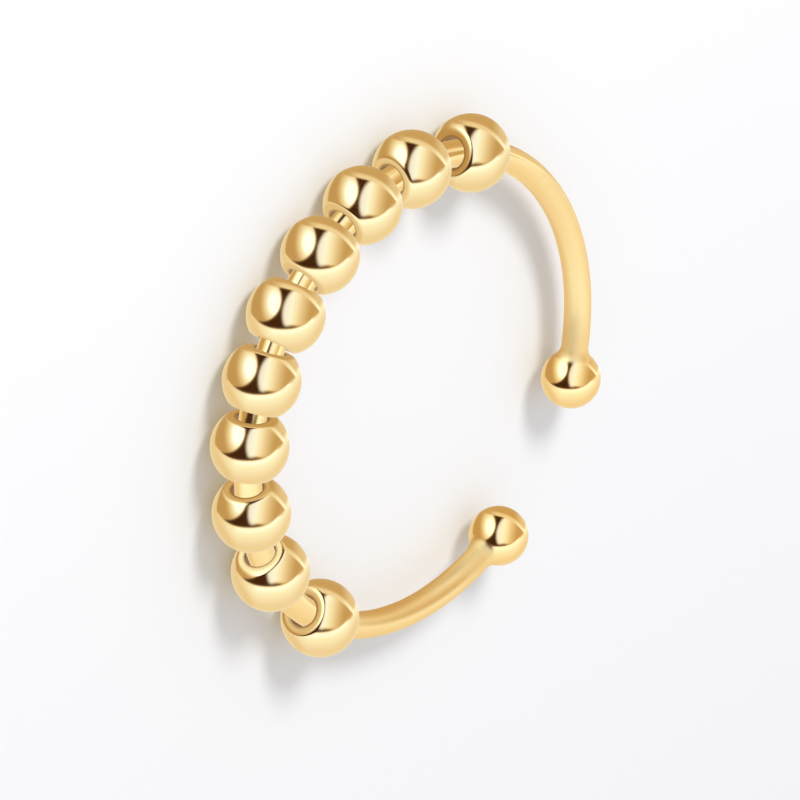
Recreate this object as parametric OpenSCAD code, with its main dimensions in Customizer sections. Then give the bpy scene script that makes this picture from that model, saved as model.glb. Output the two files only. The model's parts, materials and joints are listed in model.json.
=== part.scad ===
// Spinner ring: an open band of round wire with a ball soldered to each end and loose turned
// beads that spin and slide along the wire. The ring's plane is z = 0 and its middle is the origin.
// The opening faces +X, and places along the wire run counter-clockwise from there, seen from +Z.

/* [Wire band] */
// Diameter of the band, to the middle of the wire
band_d = 18.8; // [17.8:0.2:21]
// Diameter of the round wire
wire_d = 1.05; // [0.9:0.05:1.2]

/* [End balls] */
// Diameter of each end ball
ball_d = 2.3; // [1.8:0.1:2.8]
// Clear gap between the two end balls
opening_w = 4.35; // [3.35:0.1:5.35]
// Radius of the solder fillet where the wire meets a ball
fillet_r = 0.6; // [0.3:0.1:0.8]
// Straight wire between a fillet and the bent part of the band
neck_l = 0.15; // [0.05:0.05:0.5]

/* [Beads] */
// Diameter of each bead
bead_d = 3; // [2.8:0.05:3.2]
// Width of the flat face around the bead's hole
face_w = 0.24; // [0.12:0.02:0.34]
// Radius of the rounded rim between the flat face and the ball shape
rim_r = 0.3; // [0.1:0.05:0.4]
// Least play between the wire and the bead's hole, on each side
hole_play = 0.015; // [0.01:0.005:0.05]

/* [Hidden] */
$fn = 96;
// Places of the beads, as they lie: the bare wire before each bead, in order from the opening.
// The first length runs from the neck, and the others are spans beyond beads that touch.
bare_wire = [11.9, 0.85, 0.25, 0.1, 0.06, 0.04, 0.04, 0.3, 0.55, 1.6];
bead_count = len(bare_wire);

band_r = band_d / 2;
wire_r = wire_d / 2;
ball_r = ball_d / 2;
bead_r = bead_d / 2;
degree_per_mm = 180 / (PI * band_r);

// The fillet is a circle that touches the wire and the ball from outside
fillet_x = wire_r + fillet_r;
fillet_y = sqrt(pow(ball_r + fillet_r, 2) - pow(fillet_x, 2));
straight_l = fillet_y + neck_l;

// Each ball's middle lies on the tangent at the end of the arc, half an opening from the X axis
ball_reach = norm([band_r, straight_l]);
ball_angle = asin((opening_w / 2 + ball_r) / ball_reach);
arc_start = ball_angle + atan(straight_l / band_r);

// The band's two halves run over each other by this much, so that they are one solid
lap_angle = 2;

// The rim's circle touches the ball from inside and the flat face from behind
function rim_middle(face_r) = sqrt(pow(bead_r - rim_r, 2) - pow(face_r, 2));
// How far a length of the wire bows, from its chord to its middle
function bow(half_length) = pow(half_length, 2) / (2 * band_r);

// The hole is straight and the wire is bent, so the hole is wider by half of the wire's bow over
// the length that a bead with a hole as tight as the wire would have
longest_half = rim_middle(wire_r + face_w) + rim_r;
hole_r = wire_r + bow(longest_half) / 2 + hole_play;
face_r = hole_r + face_w;
rim_y = rim_middle(face_r);
half_l = rim_y + rim_r;

// The bead's middle sits inside the wire's circle by half of the wire's bow over its own length
bead_reach = band_r - bow(half_l) / 2;
rim_reach = bead_reach - face_r;
touch_angle = 2 * (asin(rim_r / norm([rim_reach, rim_y])) + atan(rim_y / rim_reach));

function bare_angle(i) = bare_wire[i] * degree_per_mm;
function bead_angle(i) =
    i == 0
    ? arc_start + bare_angle(0) + atan(half_l / bead_reach)
    : bead_angle(i - 1) + touch_angle + bare_angle(i);

bead_names = [for (i = [1:bead_count]) str("bead_", i < 10 ? "0" : "", i)];

// Half of the wire's neck and ball, cut through their common axis, which is Y
module end_profile() {
    difference() {
        union() {
            intersection() {
                circle(ball_r);
                translate([0, -ball_r]) square([ball_r, ball_d]);
            }
            polygon([[0, 0], [fillet_x, fillet_y], [0, fillet_y]]);
        }
        translate([fillet_x, fillet_y]) circle(fillet_r);
    }
    square([wire_r, straight_l]);
}

// Half of the band in the frame of its arc's end: the arc starts at the X axis and turns left, past
// the band's middle by the lap, and the neck and ball run straight on from there, towards -Y
module half_band() {
    rotate_extrude(angle = 180 - arc_start + lap_angle)
        translate([band_r, 0]) circle(wire_r);
    translate([band_r, -straight_l, 0])
        rotate([-90, 0, 0])
            rotate_extrude()
                end_profile();
}

// The wire and its two balls are one soldered piece
module shank() {
    color([0.86, 0.72, 0.5]) {
        rotate([0, 0, arc_start]) half_band();
        rotate([180, 0, 0]) rotate([0, 0, arc_start]) half_band();
    }
}

// Half of a bead's outline, cut through its axis, which is Y
module bead_profile() {
    difference() {
        union() {
            intersection() {
                circle(bead_r);
                polygon([[0, 0], 2 * [face_r, rim_y], 2 * [bead_r, 0], 2 * [face_r, -rim_y]]);
            }
            translate([0, -half_l]) square([face_r, 2 * half_l]);
            for (side = [-1, 1])
                translate([face_r, side * rim_y]) circle(rim_r);
        }
        translate([-bead_d, -bead_d]) square([bead_d + hole_r, 2 * bead_d]);
    }
}

// A bead is a ball with a hole, a flat face at each end and rounded rims
module bead(i) {
    color([0.9, 0.76, 0.52])
        rotate([0, 0, bead_angle(i)])
            translate([bead_reach, 0, 0])
                rotate([-90, 0, 0])
                    rotate_extrude()
                        bead_profile();
}

shank();
for (i = [0:bead_count - 1])
    bead(i);
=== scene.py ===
import json
import math

import bpy
from mathutils import Matrix, Vector


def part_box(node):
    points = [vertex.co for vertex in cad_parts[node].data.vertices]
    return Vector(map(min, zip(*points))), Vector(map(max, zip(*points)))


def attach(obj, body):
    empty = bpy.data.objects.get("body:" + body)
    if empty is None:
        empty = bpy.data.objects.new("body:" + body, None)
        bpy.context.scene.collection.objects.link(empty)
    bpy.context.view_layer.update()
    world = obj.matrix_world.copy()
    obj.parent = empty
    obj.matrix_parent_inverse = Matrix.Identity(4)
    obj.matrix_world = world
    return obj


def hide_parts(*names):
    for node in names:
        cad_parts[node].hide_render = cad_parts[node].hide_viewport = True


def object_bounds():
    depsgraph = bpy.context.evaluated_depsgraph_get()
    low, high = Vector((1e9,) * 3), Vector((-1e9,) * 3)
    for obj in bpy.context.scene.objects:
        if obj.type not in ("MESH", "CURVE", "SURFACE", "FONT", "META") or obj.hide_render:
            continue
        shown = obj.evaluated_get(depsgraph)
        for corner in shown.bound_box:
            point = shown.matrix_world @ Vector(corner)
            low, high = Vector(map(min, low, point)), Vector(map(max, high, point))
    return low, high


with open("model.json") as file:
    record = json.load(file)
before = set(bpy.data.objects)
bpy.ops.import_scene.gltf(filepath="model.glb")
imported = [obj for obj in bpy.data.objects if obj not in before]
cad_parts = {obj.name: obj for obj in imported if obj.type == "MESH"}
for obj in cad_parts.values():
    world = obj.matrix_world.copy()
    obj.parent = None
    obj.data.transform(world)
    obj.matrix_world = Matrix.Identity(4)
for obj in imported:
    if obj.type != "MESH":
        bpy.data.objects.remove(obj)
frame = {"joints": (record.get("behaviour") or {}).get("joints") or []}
cad_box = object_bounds()

# The camera looks down at the ring as it lies on its side, at the photograph's angle to the ring's
# plane. The lens is long, and the camera is rolled so that the row of beads runs up the picture.
# Lengths are in metres, here and below, unless the name says otherwise.
lens_mm = 600
sensor_mm = 36
nearest_shown = 0.01
camera_distance = 0.5044
camera_azimuth = math.radians(184.2)
camera_elevation = math.radians(36.15)
camera_roll = math.radians(112.25)
aim_right = -0.00056
aim_up = -0.0004

level_right = Vector((-math.sin(camera_azimuth), math.cos(camera_azimuth), 0))
to_camera = Vector((
    math.cos(camera_elevation) * math.cos(camera_azimuth),
    math.cos(camera_elevation) * math.sin(camera_azimuth),
    math.sin(camera_elevation),
))
level_up = to_camera.cross(level_right)
picture_right = level_right * math.cos(camera_roll) + level_up * math.sin(camera_roll)
picture_up = level_up * math.cos(camera_roll) - level_right * math.sin(camera_roll)

camera_data = bpy.data.cameras.new("camera")
camera_data.lens = lens_mm
camera_data.sensor_width = sensor_mm
camera_data.clip_start = nearest_shown
camera = bpy.data.objects.new("camera", camera_data)
bpy.context.scene.collection.objects.link(camera)
aim = picture_right * aim_right + picture_up * aim_up
camera_axes = Matrix((picture_right, picture_up, to_camera)).transposed().to_4x4()
camera.matrix_world = Matrix.Translation(aim + to_camera * camera_distance) @ camera_axes
bpy.context.scene.camera = camera

# The band is one length of round brass wire, bent to most of a circle, with a ball soldered to each
# end, and gold plated as one piece. The balls are polished to mirrors, the solder fillets are satin,
# and the drawn wire has a soft shine with faint marks, burnished where the beads run on it.
mm = 0.001
band_r = 9.4 * mm
wire_r = 0.525 * mm
ball_r = 1.15 * mm
fillet_r = 0.6 * mm
neck_l = 0.15 * mm
opening_w = 4.35 * mm

# The fillet's circle touches the wire and the ball from outside. The balls stand half an opening
# from the X axis, each on the tangent at its end of the arc.
fillet_x = wire_r + fillet_r
fillet_y = math.sqrt((ball_r + fillet_r) ** 2 - fillet_x ** 2)
straight_l = fillet_y + neck_l
ball_reach = math.hypot(band_r, straight_l)
ball_angle = math.asin((opening_w / 2 + ball_r) / ball_reach)
arc_start = ball_angle + math.atan(straight_l / band_r)
touch = math.atan2(fillet_y, fillet_x)

ball_steps = 44
fillet_steps = 20
arc_steps = 240
wire_segments = 72


def arc_points(centre, radius, start, end, steps):
    """Points along a circle arc in a plane, from one angle to another."""
    for i in range(steps + 1):
        angle = start + (end - start) * i / steps
        yield (centre[0] + radius * math.cos(angle), centre[1] + radius * math.sin(angle))


# The outline of one end, cut through its axis: the ball from its far pole, then the fillet.
fillet_middle = (fillet_x, fillet_y)
end_outline = list(arc_points((0, 0), ball_r, -math.pi / 2, touch, ball_steps))
end_outline += list(arc_points(
    fillet_middle, fillet_r, touch - math.pi, -math.pi, fillet_steps))[1:]


def band_end(side):
    """Places and radii from the far pole of a ball up to the arc. Side is 1 or -1, along Y."""
    outward = Vector((math.cos(arc_start), side * math.sin(arc_start), 0))
    tangent = Vector((-math.sin(arc_start), side * math.cos(arc_start), 0))
    places = [outward * band_r + tangent * (along - straight_l) for _, along in end_outline]
    return places, [max(thick, 0) for thick, _ in end_outline]


def band_arc():
    """Places and radii along the bent wire, from one end to the other."""
    places = []
    for i in range(arc_steps + 1):
        angle = arc_start + (2 * math.pi - 2 * arc_start) * i / arc_steps
        places.append(Vector((math.cos(angle), math.sin(angle), 0)) * band_r)
    return places, [wire_r] * len(places)


first_places, first_radii = band_end(1)
arc_places, arc_radii = band_arc()
last_places, last_radii = band_end(-1)
band_places = first_places + arc_places + last_places[::-1]
band_radii = first_radii + arc_radii + last_radii[::-1]


class Value:
    """One output of a node. Sums on it add Math nodes to the same tree."""

    def __init__(self, output):
        self.output = output
        self.tree = output.id_data

    def math(self, operation, *values):
        return node(self.tree, "ShaderNodeMath", {"operation": operation}, dict(enumerate(values)))

    def __add__(self, other):
        return self.math("ADD", self, other)

    __radd__ = __add__

    def __sub__(self, other):
        return self.math("SUBTRACT", self, other)

    def __rsub__(self, other):
        return self.math("SUBTRACT", other, self)

    def __mul__(self, other):
        return self.math("MULTIPLY", self, other)

    __rmul__ = __mul__

    def __truediv__(self, other):
        return self.math("DIVIDE", self, other)

    def __pow__(self, other):
        return self.math("POWER", self, other)


def node(tree, kind, settings, sockets, out=0):
    """Adds a node, sets it up, then fills or links its sockets, by their places or names.

    Returns the output at a place or of a name, or the node itself if it has no outputs.
    """
    made = tree.nodes.new(kind)
    for name, setting in settings.items():
        if name == "stops":
            stops = made.color_ramp.elements
            for _ in range(len(setting) - 2):
                stops.new(0.5)
            for stop, (position, colour) in zip(stops, setting):
                stop.position = position
                stop.color = colour
        else:
            setattr(made, name, setting)
    for key, value in sockets.items():
        if isinstance(value, Value):
            tree.links.new(value.output, made.inputs[key])
        else:
            made.inputs[key].default_value = value
    return Value(made.outputs[out]) if made.outputs else made


def line_object(name, places, radii=None, closed=False):
    """A curve object of one straight-sided spline through the places."""
    curve = bpy.data.curves.new(name, "CURVE")
    curve.dimensions = "3D"
    spline = curve.splines.new("POLY")
    spline.points.add(len(places) - 1)
    for i, (point, place) in enumerate(zip(spline.points, places)):
        point.co = (*place, 1)
        point.radius = radii[i] if radii else 1
    spline.use_cyclic_u = closed
    made = bpy.data.objects.new(name, curve)
    bpy.context.scene.collection.objects.link(made)
    return made


def start_tree(name, sockets):
    """A Geometry Nodes tree with its inputs. Returns the tree and its inputs by name."""
    tree = bpy.data.node_groups.new(name, "GeometryNodeTree")
    for label, kind in sockets.items():
        tree.interface.new_socket(label, in_out="INPUT", socket_type=kind)
    tree.interface.new_socket("Mesh", in_out="OUTPUT", socket_type="NodeSocketGeometry")
    source = tree.nodes.new("NodeGroupInput")
    return tree, {label: Value(source.outputs[label]) for label in sockets}


def run_tree(shape, tree, values):
    """Runs the tree on a curve and returns the result as a plain mesh object of the same name."""
    modifier = shape.modifiers.new(tree.name, "NODES")
    modifier.node_group = tree
    for item in tree.interface.items_tree:
        if item.in_out == "INPUT" and item.name in values:
            modifier[item.identifier] = values[item.name]
    bpy.context.view_layer.update()
    result = shape.evaluated_get(bpy.context.evaluated_depsgraph_get())
    mesh = bpy.data.meshes.new_from_object(result)
    name = shape.name
    bpy.data.objects.remove(shape)
    piece = bpy.data.objects.new(name, mesh)
    bpy.context.scene.collection.objects.link(piece)
    return piece


# The wire's tree sweeps a circle along the path, as thick as each of its points says. It stores how
# far along the band the nearer end is, and the place round the wire, which the finish needs.
same_point = 1e-7
wire_tree, wire_in = start_tree("drawn wire", {
    "Path": "NodeSocketGeometry", "Segments": "NodeSocketInt", "Metal": "NodeSocketMaterial"})
along_path = node(wire_tree, "GeometryNodeSplineParameter", {}, {}, out="Length")
whole_path = node(wire_tree, "GeometryNodeSplineLength", {}, {})
from_end = along_path.math("MINIMUM", along_path, whole_path - along_path)
path = node(wire_tree, "GeometryNodeStoreNamedAttribute", {"data_type": "FLOAT"},
            {"Geometry": wire_in["Path"], "Name": "from_end", "Value": from_end})
section = node(wire_tree, "GeometryNodeCurvePrimitiveCircle", {},
               {"Resolution": wire_in["Segments"], "Radius": 1.0})
around_section = node(wire_tree, "GeometryNodeInputPosition", {}, {})
section = node(wire_tree, "GeometryNodeStoreNamedAttribute", {"data_type": "FLOAT_VECTOR"},
               {"Geometry": section, "Name": "around", "Value": around_section})
thickness = node(wire_tree, "GeometryNodeInputRadius", {}, {})
swept = node(wire_tree, "GeometryNodeCurveToMesh", {},
             {"Curve": path, "Profile Curve": section, "Scale": thickness})
closed = node(wire_tree, "GeometryNodeMergeByDistance", {},
              {"Geometry": swept, "Distance": same_point})
smooth = node(wire_tree, "GeometryNodeSetShadeSmooth", {}, {"Geometry": closed})
real = node(wire_tree, "GeometryNodeRealizeInstances", {}, {"Geometry": smooth})
finished = node(wire_tree, "GeometryNodeSetMaterial", {},
                {"Geometry": real, "Material": wire_in["Metal"]})
node(wire_tree, "NodeGroupOutput", {}, {"Mesh": finished})


def start_skin(name):
    """A material with an empty node tree."""
    material = bpy.data.materials.new(name)
    material.use_nodes = True
    material.node_tree.nodes.clear()
    return material, material.node_tree


def attribute(skin, name, out):
    """What the piece's own tree has stored on its mesh. Out is Vector, or Fac for a number."""
    return node(skin, "ShaderNodeAttribute", {"attribute_name": name}, {}, out=out)


def noise(skin, place, scale, detail):
    return node(skin, "ShaderNodeTexNoise", {}, {"Vector": place, "Scale": scale, "Detail": detail})


def ramp(value, start, end, low=0.0, high=1.0):
    """Goes smoothly from low to high as the value goes from start to end, and stays there."""
    return node(value.tree, "ShaderNodeMapRange", {"interpolation_type": "SMOOTHSTEP"}, {
        "Value": value, "From Min": start, "From Max": end, "To Min": low, "To Max": high})


def mixed(share, colour_a, colour_b):
    """Goes from colour a to colour b as share goes from 0 to 1.

    A Mix node's sockets for colours share their names with others, so they go by their places.
    """
    factor, first, second, result = 0, 6, 7, 2
    return node(share.tree, "ShaderNodeMix", {"data_type": "RGBA"},
                {factor: share, first: colour_a, second: colour_b}, out=result)


def gold_plate(skin, colour, roughness, metallic, relief):
    """Ends a skin as metal, with a relief that is only as deep as polishing leaves it."""
    polish_depth = 0.002 * mm
    bump = node(skin, "ShaderNodeBump", {},
                {"Strength": 1.0, "Distance": polish_depth, "Height": relief})
    shader = node(skin, "ShaderNodeBsdfPrincipled", {}, {
        "Base Color": colour, "Metallic": metallic, "Roughness": roughness, "Normal": bump})
    node(skin, "ShaderNodeOutputMaterial", {}, {"Surface": shader})


band_plate = (0.97, 0.755, 0.41, 1)
band_plate_deeper = (0.95, 0.72, 0.37, 1)

# Where one finish gives way to the next, along the band from the far pole of the nearer ball.
ball_polish_ends = 1.95 * mm
satin_starts = 2.25 * mm
satin_fades = 2.7 * mm
satin_ends = 4.5 * mm
burnish_starts = 10.5 * mm
burnish_full = 13.0 * mm

ball_roughness = 0.1
satin_roughness = 0.22
drawn_roughness = 0.24
drawn_mark_roughness = 0.08
burnished_share = 0.85
drawn_mark_l = 1.5 * mm
drawn_marks_round = (6, 6, 6)
drawn_mark_relief = 0.15
wave_scale = 0.35 / mm
wave_roughness = 0.02

wire_gold, skin = start_skin("wire_gold")
place = node(skin, "ShaderNodeTexCoord", {}, {}, out="Object")
end_distance = attribute(skin, "from_end", "Fac")
wire_share = ramp(end_distance, ball_polish_ends, satin_starts)
solder_share = wire_share * ramp(end_distance, satin_ends, satin_fades)
burnished = ramp(end_distance, burnish_starts, burnish_full)
marks_along = node(skin, "ShaderNodeCombineXYZ", {}, {"Z": end_distance / drawn_mark_l})
marks_place = node(skin, "ShaderNodeVectorMath", {"operation": "MULTIPLY_ADD"}, {
    0: attribute(skin, "around", "Vector"), 1: drawn_marks_round, 2: marks_along})
drawn_marks = noise(skin, marks_place, scale=2.0, detail=3.0)
waves = noise(skin, place, scale=wave_scale, detail=2.0)
wire_colour = mixed(waves, band_plate, band_plate_deeper)
soft_share = wire_share * (1 - burnished * burnished_share)
wire_roughness = ball_roughness + waves * wave_roughness
wire_roughness = wire_roughness + soft_share * (drawn_roughness + drawn_marks * drawn_mark_roughness)
wire_roughness = wire_roughness + solder_share * satin_roughness
wire_relief = waves + wire_share * drawn_marks * drawn_mark_relief
gold_plate(skin, wire_colour, wire_roughness, metallic=1.0, relief=wire_relief)

# The gold mirrors the studio and nothing else, so each piece is kept out of the others' mirrors.
band_path = line_object("band", band_places, band_radii)
band = run_tree(band_path, wire_tree, {"Segments": wire_segments, "Metal": wire_gold})
band.visible_glossy = False
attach(band, "shank")
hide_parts("shank")

# Each bead is a ball turned from solid brass, drilled straight through, with a flat face and a
# rounded rim at each end. It is tumbled to a mirror and gold plated, and the hole's inside stays
# dull brass. Each face has painted shade, brown at the hole and lighter towards the rim, and the
# hole's dull brass is painted darker as shade. It runs loose on the wire.
lowest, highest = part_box("bead_01")
bead_r = (highest[2] - lowest[2]) / 2
hole_play = 0.015 * mm
face_w = 0.24 * mm
rim_r = 0.3 * mm
edge_r = 0.06 * mm

bead_steps = 36
rim_steps = 14
edge_steps = 6
bead_segments = 128


def rim_middle(face_radius):
    """How far along the bead's axis the rim's circle lies that touches the ball from inside."""
    return math.sqrt((bead_r - rim_r) ** 2 - face_radius ** 2)


# The hole is straight and the wire is bent, so the hole is wider by half of the wire's bow over the
# length that a bead with a hole as tight as the wire would have.
longest_half = rim_middle(wire_r + face_w) + rim_r
hole_r = wire_r + longest_half ** 2 / (4 * band_r) + hole_play
face_r = hole_r + face_w
rim_y = rim_middle(face_r)
half_l = rim_y + rim_r
rim_angle = math.atan2(rim_y, face_r)
quarter = math.pi / 2

# The outline of a bead's wall, cut through its axis: the ball, the rim, the face, the hole's edge.
rim_at = (face_r, rim_y)
edge_at = (hole_r + edge_r, half_l - edge_r)
upper_half = list(arc_points((0, 0), bead_r, 0, rim_angle, bead_steps))
upper_half += list(arc_points(rim_at, rim_r, rim_angle, quarter, rim_steps))[1:]
upper_half += list(arc_points(edge_at, edge_r, quarter, 2 * quarter, edge_steps))
lower_half = [(x, -y) for x, y in reversed(upper_half)]
bead_outline = [(x - hole_r, y, 0) for x, y in upper_half + lower_half[:-1]]

# The beads' tree turns the outline round the hole, stores where each point is on the bead, which
# the finish needs, and then sets the bead on the wire.
bead_tree, bead_in = start_tree("turned bead", {
    "Outline": "NodeSocketGeometry", "Segments": "NodeSocketInt", "Hole radius": "NodeSocketFloat",
    "Middle": "NodeSocketVector", "Turn": "NodeSocketRotation", "Metal": "NodeSocketMaterial"})
hole_circle = node(bead_tree, "GeometryNodeCurvePrimitiveCircle", {},
                   {"Resolution": bead_in["Segments"], "Radius": bead_in["Hole radius"]})
turned = node(bead_tree, "GeometryNodeCurveToMesh", {},
              {"Curve": hole_circle, "Profile Curve": bead_in["Outline"]})
smooth = node(bead_tree, "GeometryNodeSetShadeSmooth", {}, {"Geometry": turned})
own_place = node(bead_tree, "GeometryNodeInputPosition", {}, {})
marked = node(bead_tree, "GeometryNodeStoreNamedAttribute", {"data_type": "FLOAT_VECTOR"},
              {"Geometry": smooth, "Name": "bead_place", "Value": own_place})
placed = node(bead_tree, "GeometryNodeTransform", {},
              {"Geometry": marked, "Translation": bead_in["Middle"], "Rotation": bead_in["Turn"]})
real = node(bead_tree, "GeometryNodeRealizeInstances", {}, {"Geometry": placed})
finished = node(bead_tree, "GeometryNodeSetMaterial", {},
                {"Geometry": real, "Material": bead_in["Metal"]})
node(bead_tree, "NodeGroupOutput", {}, {"Mesh": finished})


def length_along(skin, place, directions):
    """How far a place is from the bead's middle, counted only in the directions that are 1."""
    part = node(skin, "ShaderNodeVectorMath", {"operation": "MULTIPLY"}, {0: place, 1: directions})
    return node(skin, "ShaderNodeVectorMath", {"operation": "LENGTH"}, {0: part}, out="Value")


bead_plate = (0.93, 0.76, 0.47, 1)
bead_plate_deeper = (0.91, 0.73, 0.43, 1)
# The next colour is painted shade on the flat faces, a little browner than the plate.
painted_face_shade = (0.86, 0.66, 0.35, 1)
# The next colour is dull brass inside the hole, painted darker as shade, and also the painted shade
# on each face at the hole's edge.
hole_brass_and_painted_shade = (0.36, 0.2, 0.09, 1)

# The plate ends on the hole's rounded edge, where the dull brass inside is painted darker as shade.
# The face has painted shade, brown at the hole and fading over most of its width to a tone a
# little browner than the plate.
plate_thins = hole_r + 0.6 * edge_r
plate_ends = hole_r + 0.1 * edge_r
painted_shade_r = hole_r + 0.7 * face_w
face_starts = half_l - 0.05 * mm
face_full = half_l - 0.01 * mm

tumbled_roughness = 0.09
face_roughness = 0.08
hole_roughness = 0.35
hole_tarnish = 0.8
turning_mark_roughness = 0.02
turning_mark_relief = 0.1

bead_gold, skin = start_skin("bead_gold")
place = node(skin, "ShaderNodeTexCoord", {}, {}, out="Object")
turned_place = attribute(skin, "bead_place", "Vector")
off_axis = length_along(skin, turned_place, (1, 1, 0))
along_axis = length_along(skin, turned_place, (0, 0, 1))
in_hole = ramp(off_axis, plate_thins, plate_ends)
on_face = ramp(along_axis, face_starts, face_full)
turning_place = node(skin, "ShaderNodeCombineXYZ", {}, {"X": off_axis / mm, "Y": along_axis / mm})
turning_marks = noise(skin, turning_place, scale=18.0, detail=2.0)
waves = noise(skin, place, scale=wave_scale, detail=2.0)
# Painted shade on each face: dark brown at the hole, lighter towards the rim.
face_painted_shade = mixed(ramp(off_axis, hole_r, painted_shade_r), hole_brass_and_painted_shade, painted_face_shade)
bead_colour = mixed(on_face, mixed(waves, bead_plate, bead_plate_deeper), face_painted_shade)
# Inside the hole the colour is dull brass, painted darker as shade.
bead_colour = mixed(in_hole, bead_colour, hole_brass_and_painted_shade)
bead_roughness = tumbled_roughness + waves * wave_roughness + turning_marks * turning_mark_roughness
bead_roughness = bead_roughness + on_face * face_roughness + in_hole * hole_roughness
bead_relief = waves + on_face * turning_marks * turning_mark_relief
bead_metallic = 1.0 - in_hole * hole_tarnish
gold_plate(skin, bead_colour, bead_roughness, metallic=bead_metallic, relief=bead_relief)

for joint in frame["joints"]:
    bead_name = joint["child"]
    turn = Vector(joint["axis"]).to_track_quat("Z", "Y").to_euler()
    bead = line_object("turned_" + bead_name, bead_outline, closed=True)
    bead = run_tree(bead, bead_tree, {
        "Segments": bead_segments, "Hole radius": hole_r, "Middle": Vector(joint["pos_m"]),
        "Turn": turn, "Metal": bead_gold})
    bead.visible_glossy = False
    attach(bead, bead_name)
    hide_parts(bead_name)

# The table is one plain pale sheet of matt paper, which the ring lies on by itself. The gold doesn't
# mirror it, because the studio further down has paper of its own for that.
floor_size = 1.2
paper_white = (0.875, 0.875, 0.877, 1)
table_top = cad_box[0][2]
reach = floor_size / 2
corners = [
    (-reach, -reach, table_top), (reach, -reach, table_top),
    (reach, reach, table_top), (-reach, reach, table_top)]
floor_mesh = bpy.data.meshes.new("table")
floor_mesh.from_pydata(corners, [], [(0, 1, 2, 3)])
floor = bpy.data.objects.new("table", floor_mesh)
bpy.context.scene.collection.objects.link(floor)
pale_paper, skin = start_skin("pale_paper")
shader = node(skin, "ShaderNodeBsdfPrincipled", {}, {"Base Color": paper_white, "Roughness": 0.9})
node(skin, "ShaderNodeOutputMaterial", {}, {"Surface": shader})
floor_mesh.materials.append(pale_paper)
floor.visible_glossy = False

# One soft round lamp stands off the upper right of the picture, in front of the ring, and gives it
# its shadow. The gold doesn't mirror it, because the studio's boxes are there for that.
lamp_right = 0.5
lamp_up = 0.45
lamp_forward = 0.74
lamp_distance = 0.25
lamp_size = 0.08
lamp_power = 0.34

lamp_way = picture_right * lamp_right + picture_up * lamp_up + to_camera * lamp_forward
lamp_place = lamp_way.normalized() * lamp_distance
lamp_turn = lamp_place.to_track_quat("Z", "Y").to_matrix().to_4x4()
lamp_data = bpy.data.lights.new("soft lamp", "AREA")
lamp_data.shape = "DISK"
lamp_data.size = lamp_size
lamp_data.energy = lamp_power
lamp = bpy.data.objects.new("soft lamp", lamp_data)
bpy.context.scene.collection.objects.link(lamp)
lamp.matrix_world = Matrix.Translation(lamp_place) @ lamp_turn
lamp.visible_glossy = False

# The studio is what the gold mirrors: white paper below and in front, two soft boxes with a dark
# gap between them, a warm backdrop behind and a pale rim on the far left. It stands still, and is
# laid out as a mirror ball in the ring's place shows it, with x to the right and y up.
world = bpy.data.worlds.new("studio")
world.use_nodes = True
studio = world.node_tree
studio.nodes.clear()
bpy.context.scene.world = world
direction = node(studio, "ShaderNodeTexCoord", {}, {}, out="Generated")


def towards(axis):
    """How far the mirrored direction goes along an axis of the picture."""
    return node(studio, "ShaderNodeVectorMath", {"operation": "DOT_PRODUCT"},
                {0: direction, 1: tuple(axis)}, out="Value")


def blend(a, b, share):
    """Goes from a to b as share goes from 0 to 1."""
    return a + (b - a) * share


def from_middle(x, y, middle, half_width, half_height):
    """1 on the edge of an ellipse, less inside it and more outside."""
    return (((x - middle[0]) / half_width) ** 2 + ((y - middle[1]) / half_height) ** 2) ** 0.5


def height_at(x, factors):
    """The height of a smooth curve at x. Its factors begin with that of the highest power."""
    height = factors[0]
    for factor in factors[1:]:
        height = height * x + factor
    return height


# The number just over 1 keeps the spread above 0 in the one direction that a ball can't mirror.
just_over_one = 1.0001
spread = (2 * (just_over_one + towards(to_camera))) ** 0.5
ball_x = towards(picture_right) / spread
ball_y = towards(picture_up) / spread
paper_edge_factors = (0.52, 0.11, 0.3, 0.03, -0.34)
box_top_factors = (-0.44, -0.14, -0.23, 0.65)
above_paper = ball_y - height_at(ball_x, paper_edge_factors)
above_top = ball_y - height_at(ball_x, box_top_factors)

# Each box fades into the dark just above the paper, but stands right on it at its outer side. The
# left one is brightest at its lamp, and the right one leans, and dims to the right.
left_box = from_middle(ball_x, ball_y, middle=(-0.6, 0.4), half_width=0.5, half_height=0.57)
left_lamp = from_middle(ball_x, ball_y, middle=(-0.28, 0.3), half_width=0.22, half_height=0.42)
left_glow = ramp(left_lamp, start=1.8, end=0.5, low=0.6, high=1.0)
above_left_gap = above_paper + ramp(ball_x, start=-0.5, end=-0.75, low=0.0, high=0.06)
left_share = ramp(left_box, start=1.07, end=0.93) * ramp(above_left_gap, start=0.0, end=0.08)

right_box_lean = 0.15
leaning_x = ball_x - right_box_lean * ball_y
right_box = from_middle(leaning_x, ball_y, middle=(0.412, 0.12), half_width=0.5, half_height=0.66)
right_glow = ramp(leaning_x, start=0.1, end=0.68, low=0.97, high=0.61)
above_right_gap = above_paper + ramp(ball_x, start=0.1, end=0.45, low=0.0, high=0.085)
right_share = ramp(right_box, start=1.1, end=0.86) * ramp(above_right_gap, start=0.0, end=0.12)

dark_glow = 0.14
boxes = blend(dark_glow, left_glow, left_share)
boxes = blend(boxes, right_glow, right_share)

# The backdrop has a lighter band just above the right box, and is lighter again on the far right.
backdrop_glow = 0.63
edge_light = ramp(above_top, start=0.17, end=0.08, low=0.0, high=0.2)
edge_light = edge_light * ramp(ball_x, start=-0.4, end=0.0)
side_light = ramp(ball_x, start=0.5, end=0.8, low=0.0, high=0.13)
backdrop = backdrop_glow + edge_light + side_light
glow = blend(boxes, backdrop, ramp(above_top, start=-0.025, end=0.025))

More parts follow.
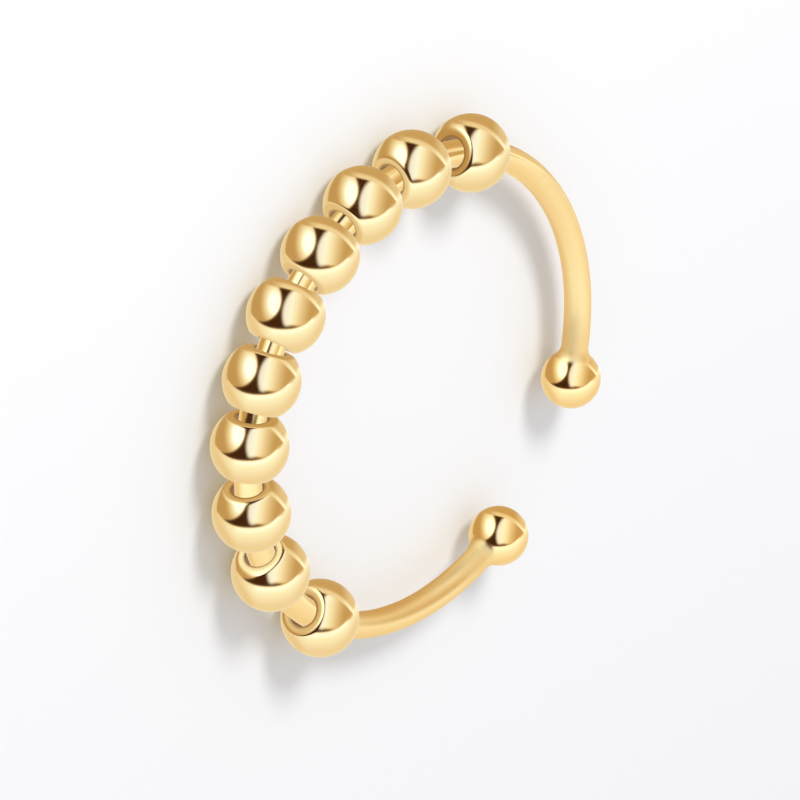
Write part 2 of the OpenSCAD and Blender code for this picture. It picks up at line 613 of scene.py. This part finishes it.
# The paper is brightest near its edge and dims to the left. The edge is soft at its right end only.
paper = ramp(above_paper, start=-0.6, end=-0.05, low=0.82, high=0.975)
paper = paper - ramp(ball_x, start=-0.3, end=-0.85, low=0.0, high=0.15)
paper_edge_width = ramp(ball_x, start=0.62, end=0.85, low=1.0, high=6.0)
glow = blend(paper, glow, ramp(above_paper / paper_edge_width, start=-0.04, end=0.02))

# The pale rim is what lies outside an oval on the far left, by the mirror ball's edge.
rim_glow = 0.8
rim_oval = from_middle(ball_x, ball_y, middle=(0.0, 0.1), half_width=0.87, half_height=0.97)
left_rim = ramp(rim_oval, start=0.975, end=1.015) * ramp(ball_x, start=-0.4, end=-0.7)
glow = blend(glow, rim_glow, left_rim)

# Each glow has a tint, which the gold then colours: brown in the dark, tan on the backdrop, and
# cool in the brightest parts, which come out nearly white. The right box's inner side is greyer.
glow_tints = [
    (0.14, (0.026, 0.009, 0.002, 1)),
    (0.36, (0.09, 0.06, 0.038, 1)),
    (0.51, (0.19, 0.133, 0.077, 1)),
    (0.62, (0.29, 0.2, 0.09, 1)),
    (0.82, (0.43, 0.38, 0.275, 1)),
    (0.88, (0.47, 0.446, 0.39, 1)),
    (0.95, (0.49, 0.535, 0.48, 1)),
    (0.975, (0.6, 0.62, 0.67, 1)),
    (1.0, (0.72, 0.88, 0.86, 1)),
]
cool_grey = (0.44, 0.51, 0.65, 1)
grey_share = right_share * ramp(leaning_x, start=0.24, end=0.0, low=0.0, high=0.8)
grey_share = grey_share * ramp(above_top, start=0.0, end=-0.06)
tint = node(studio, "ShaderNodeValToRGB", {"stops": glow_tints}, {"Fac": glow})
tint = mixed(grey_share, tint, cool_grey)

# Only what is mirrored shows this pattern. Everything else is lit by an even soft grey.
soft_grey = (0.345, 0.345, 0.355, 1)
studio_strength = 2.2
mirrored = node(studio, "ShaderNodeLightPath", {}, {}, out="Is Glossy Ray")
background = node(studio, "ShaderNodeBackground", {},
                  {"Color": mixed(mirrored, soft_grey, tint), "Strength": studio_strength})
node(studio, "ShaderNodeOutputWorld", {}, {"Surface": background})
bpy.context.scene.view_settings.view_transform = "Standard"
